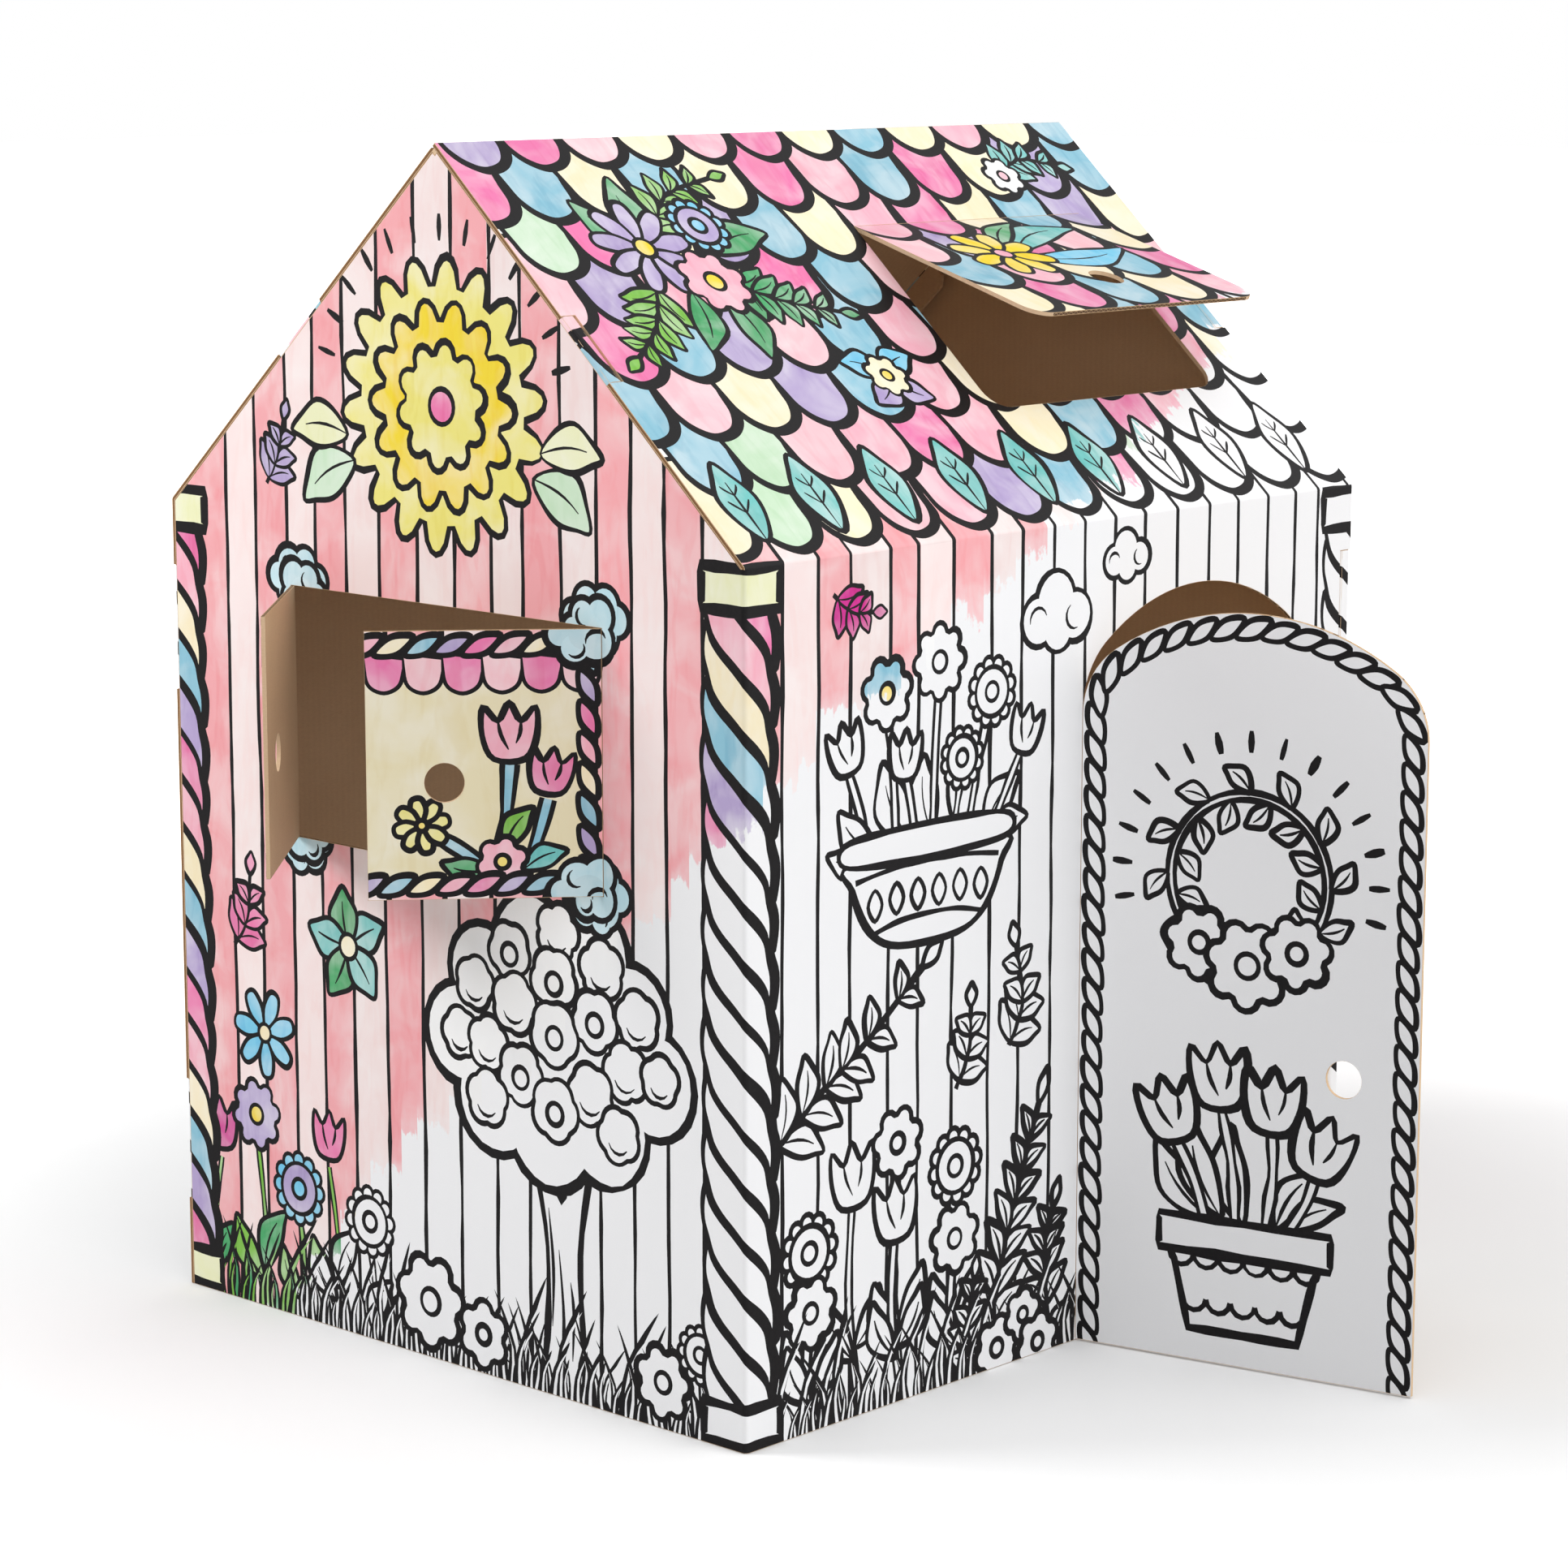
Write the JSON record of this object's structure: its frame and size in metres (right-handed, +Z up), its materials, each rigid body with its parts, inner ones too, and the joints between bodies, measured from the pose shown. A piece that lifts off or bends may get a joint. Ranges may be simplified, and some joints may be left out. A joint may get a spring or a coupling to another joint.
{
  "type": "cardboard playhouse",
  "caption": "Child's pitched-roof playhouse folded from die-cut corrugated board, with an arched door, a shuttered window and a roof hatch that open on creases.",
  "frame": {"origin": "middle of the footprint, on the floor", "axes": "+X out of the side wall with the door, -Y out of the gable with the window, +Z up"},
  "size_m": [1.1833, 1.1062, 1.219],
  "materials": {
    "printed_board": "matte"
  },
  "bodies": {
    "house": {"front_sheet": "printed_board", "rear_sheet": "printed_board"},
    "door": {"door": "printed_board"},
    "left_shutter": {"left_shutter": "printed_board"},
    "right_shutter": {"right_shutter": "printed_board"},
    "hatch": {"roof_hatch": "printed_board"}
  },
  "joints": [
    {"name": "door_crease", "type": "hinge", "parent": "house", "child": "door", "pos_m": [0.41, 0.02, 0], "axis": [0, 0, -1], "range_deg": [-78, 92]},
    {"name": "left_shutter_crease", "type": "hinge", "parent": "house", "child": "left_shutter", "pos_m": [-0.224, -0.47, 0.6415], "axis": [0, 0, -1], "range_deg": [-48, 122]},
    {"name": "right_shutter_crease", "type": "hinge", "parent": "house", "child": "right_shutter", "pos_m": [0.224, -0.47, 0.6415], "axis": [0, 0, 1], "range_deg": [-48, 122]},
    {"name": "hatch_crease", "type": "hinge", "parent": "house", "child": "hatch", "pos_m": [0.1034, 0.198, 1.12468], "axis": [0, -1, 0], "range_deg": [-25, 125]}
  ]
}
